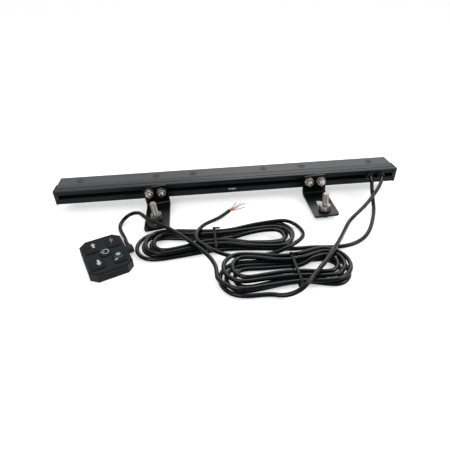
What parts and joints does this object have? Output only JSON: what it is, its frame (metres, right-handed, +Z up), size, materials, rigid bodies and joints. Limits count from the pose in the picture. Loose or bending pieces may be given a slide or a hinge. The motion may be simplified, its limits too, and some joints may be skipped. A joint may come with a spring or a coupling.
{
  "type": "roof warning light bar",
  "caption": "Slim roof warning light bar with a clear lens, a T-slot rail, two tilting roof brackets, a tied power lead and a small key pad on its own lead.",
  "frame": {"origin": "middle of the T-slot mouth on the back face, at mid length of the bar", "axes": "+X along the bar, +Y towards the lens, +Z up; the bar lies level as pictured"},
  "size_m": [0.47, 0.2329, 0.0364],
  "materials": {
    "rail_coat": "anodised extrusion, satin charcoal",
    "frame_coat": "anodised extrusion, satin charcoal",
    "cover_coat": "powder coated sheet, satin charcoal",
    "cap_plastic": "moulded black plastic",
    "screw_black": "black zinc plated screw",
    "lens_clear": "clear polycarbonate",
    "gasket_rubber": "black rubber",
    "board_green": "circuit board",
    "led_amber": "lamp chip",
    "reflector_chrome": "vacuum plated plastic",
    "steel_bright": "stainless fastener",
    "bracket_black": "black powder coat",
    "lead_sheath": "black cable sheath, satin",
    "tie_black": "black nylon band",
    "wire_red": "coloured wire sheath",
    "wire_yellow": "coloured wire sheath",
    "wire_brown": "coloured wire sheath",
    "wire_black": "coloured wire sheath",
    "pad_plastic": "moulded black plastic, fine grain",
    "key_rubber": "black silicone key"
  },
  "bodies": {
    "root": {"rear_housing": "rail_coat", "lamp_frame": "frame_coat", "top_cover": "cover_coat", "end_cap_left": "cap_plastic", "end_cap_right": "cap_plastic", "end_cap_screws": "screw_black", "cover_screws": "screw_black", "lens": "lens_clear", "lens_gasket": "gasket_rubber", "led_board": "board_green", "driver_board": "board_green", "leds": "led_amber", "reflectors": "reflector_chrome", "cable_grommets": "gasket_rubber", "power_lead_run": "lead_sheath", "power_lead_hank": "lead_sheath", "power_lead_tail": "lead_sheath", "control_lead_run": "lead_sheath", "control_lead_coil": "lead_sheath", "control_lead_loop": "lead_sheath", "hank_tie": "tie_black", "coil_tie": "tie_black", "wire_red": "wire_red", "wire_yellow": "wire_yellow", "wire_brown": "wire_brown", "wire_black": "wire_black", "keypad_base": "pad_plastic", "keypad_cover": "pad_plastic", "keypad_gland": "gasket_rubber", "keypad_board": "board_green", "keypad_screws": "screw_black"},
    "left_clamp": {"left_tee_bolts": "steel_bright", "left_washers": "steel_bright", "left_nuts": "steel_bright"},
    "left_arm": {"left_bracket": "bracket_black"},
    "left_roof_fixing": {"left_roof_bolt": "steel_bright", "left_roof_washer": "steel_bright", "left_roof_nut": "steel_bright"},
    "right_clamp": {"right_tee_bolts": "steel_bright", "right_washers": "steel_bright", "right_nuts": "steel_bright"},
    "right_arm": {"right_bracket": "bracket_black"},
    "right_roof_fixing": {"right_roof_bolt": "steel_bright", "right_roof_washer": "steel_bright", "right_roof_nut": "steel_bright"},
    "key_up": {"key_up": "key_rubber"},
    "key_down": {"key_down": "key_rubber"},
    "key_power": {"key_power": "key_rubber"},
    "key_mode": {"key_mode": "key_rubber"},
    "key_brightness": {"key_brightness": "key_rubber"}
  },
  "joints": [
    {"name": "left_clamp_slide", "type": "slide", "parent": "root", "child": "left_clamp", "axis": [1, 0, 0], "range_m": [-0.001, 0.035]},
    {"name": "left_bracket_tilt", "type": "hinge", "parent": "left_clamp", "child": "left_arm", "pos_m": [-0.1015, -0.0015, 0], "axis": [0, -1, 0], "range_deg": [-7, 1]},
    {"name": "left_roof_bolt_slide", "type": "slide", "parent": "left_arm", "child": "left_roof_fixing", "axis": [0, 1, 0], "range_m": [-0.001, 0.0155]},
    {"name": "right_clamp_slide", "type": "slide", "parent": "root", "child": "right_clamp", "axis": [1, 0, 0], "range_m": [-0.018, 0.012]},
    {"name": "right_bracket_tilt", "type": "hinge", "parent": "right_clamp", "child": "right_arm", "pos_m": [0.1165, -0.0015, 0], "axis": [0, -1, 0], "range_deg": [-11, 5]},
    {"name": "right_roof_bolt_slide", "type": "slide", "parent": "right_arm", "child": "right_roof_fixing", "axis": [0, 1, 0], "range_m": [-0.0015, 0.0235]},
    {"name": "key_up_press", "type": "slide", "parent": "root", "child": "key_up", "axis": [0, 0, -1], "range_m": [0, 0.0008], "stiffness_N_per_m": 1500},
    {"name": "key_down_press", "type": "slide", "parent": "root", "child": "key_down", "axis": [0, 0, -1], "range_m": [0, 0.0008], "stiffness_N_per_m": 1500},
    {"name": "key_power_press", "type": "slide", "parent": "root", "child": "key_power", "axis": [0, 0, -1], "range_m": [0, 0.0008], "stiffness_N_per_m": 1500},
    {"name": "key_mode_press", "type": "slide", "parent": "root", "child": "key_mode", "axis": [0, 0, -1], "range_m": [0, 0.0008], "stiffness_N_per_m": 1500},
    {"name": "key_brightness_press", "type": "slide", "parent": "root", "child": "key_brightness", "axis": [0, 0, -1], "range_m": [0, 0.0008], "stiffness_N_per_m": 1500}
  ]
}
